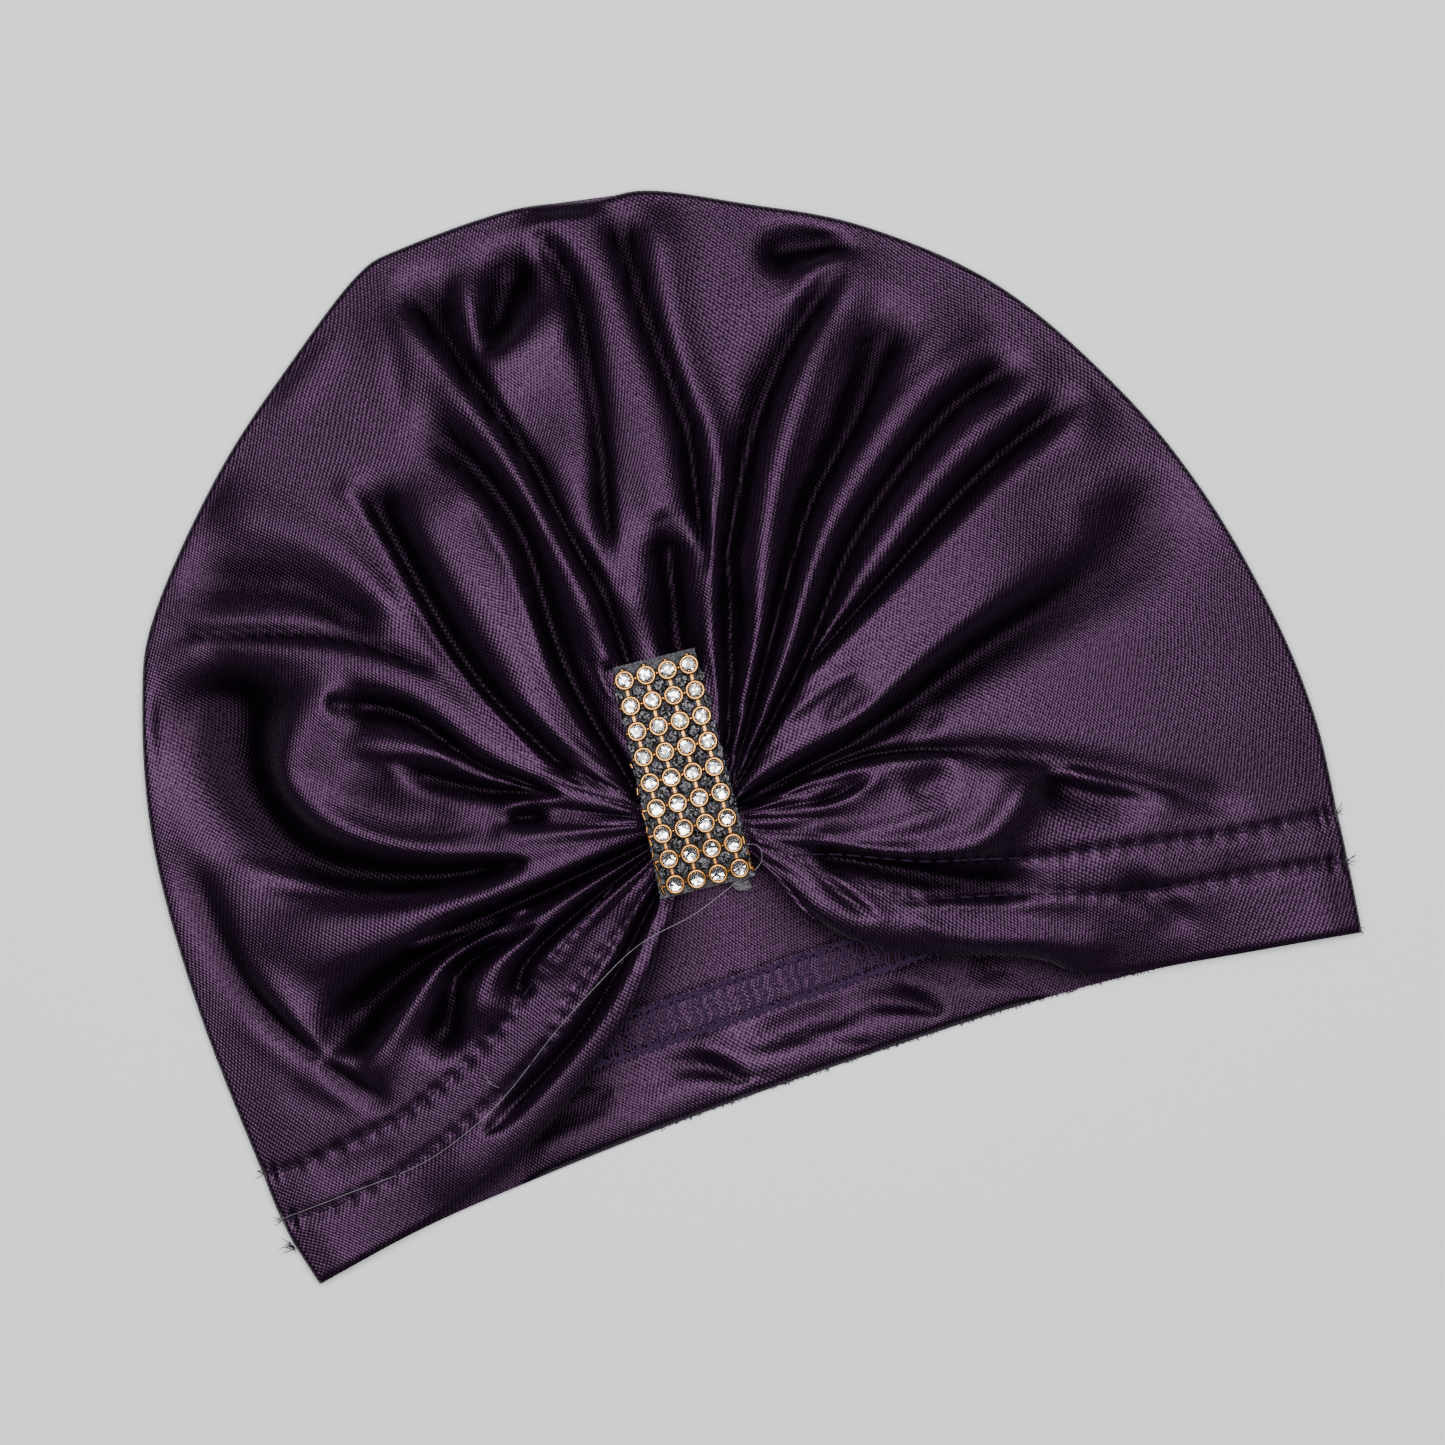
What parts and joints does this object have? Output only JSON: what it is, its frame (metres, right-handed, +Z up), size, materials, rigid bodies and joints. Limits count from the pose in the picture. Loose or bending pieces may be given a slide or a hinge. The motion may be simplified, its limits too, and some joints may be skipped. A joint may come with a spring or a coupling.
{
  "type": "baby satin turban cap with a rhinestone strip, lying flat",
  "caption": "Baby turban cap of satin, gathered at the front under a strip of clear rhinestones in gold cups, lying flat.",
  "frame": {"origin": "middle of the cap's box in plan, on the surface that it lies on", "axes": "+X along the hem, to the wearer's left as worn; +Y from the hem to the crown; +Z up from the surface, out of the gathered front"},
  "size_m": [0.2094, 0.1744, 0.0184],
  "materials": {
    "satin": "satin",
    "satin_back": "satin",
    "glitter_backing": "glitter",
    "gold": "polished",
    "rhinestone": "polished"
  },
  "bodies": {
    "root": {"front_panel": "satin", "back_panel": "satin_back", "strip_backing": "glitter_backing", "strip_setting": "gold", "stone_r1_c1": "rhinestone", "stone_r1_c2": "rhinestone", "stone_r1_c3": "rhinestone", "stone_r1_c4": "rhinestone", "stone_r2_c1": "rhinestone", "stone_r2_c2": "rhinestone", "stone_r2_c3": "rhinestone", "stone_r2_c4": "rhinestone", "stone_r3_c1": "rhinestone", "stone_r3_c2": "rhinestone", "stone_r3_c3": "rhinestone", "stone_r3_c4": "rhinestone", "stone_r4_c1": "rhinestone", "stone_r4_c2": "rhinestone", "stone_r4_c3": "rhinestone", "stone_r4_c4": "rhinestone", "stone_r5_c1": "rhinestone", "stone_r5_c2": "rhinestone", "stone_r5_c3": "rhinestone", "stone_r5_c4": "rhinestone", "stone_r6_c1": "rhinestone", "stone_r6_c2": "rhinestone", "stone_r6_c3": "rhinestone", "stone_r6_c4": "rhinestone", "stone_r7_c1": "rhinestone", "stone_r7_c2": "rhinestone", "stone_r7_c3": "rhinestone", "stone_r7_c4": "rhinestone", "stone_r8_c1": "rhinestone", "stone_r8_c2": "rhinestone", "stone_r8_c3": "rhinestone", "stone_r8_c4": "rhinestone", "stone_r9_c1": "rhinestone", "stone_r9_c2": "rhinestone", "stone_r9_c3": "rhinestone", "stone_r9_c4": "rhinestone"}
  },
  "joints": []
}
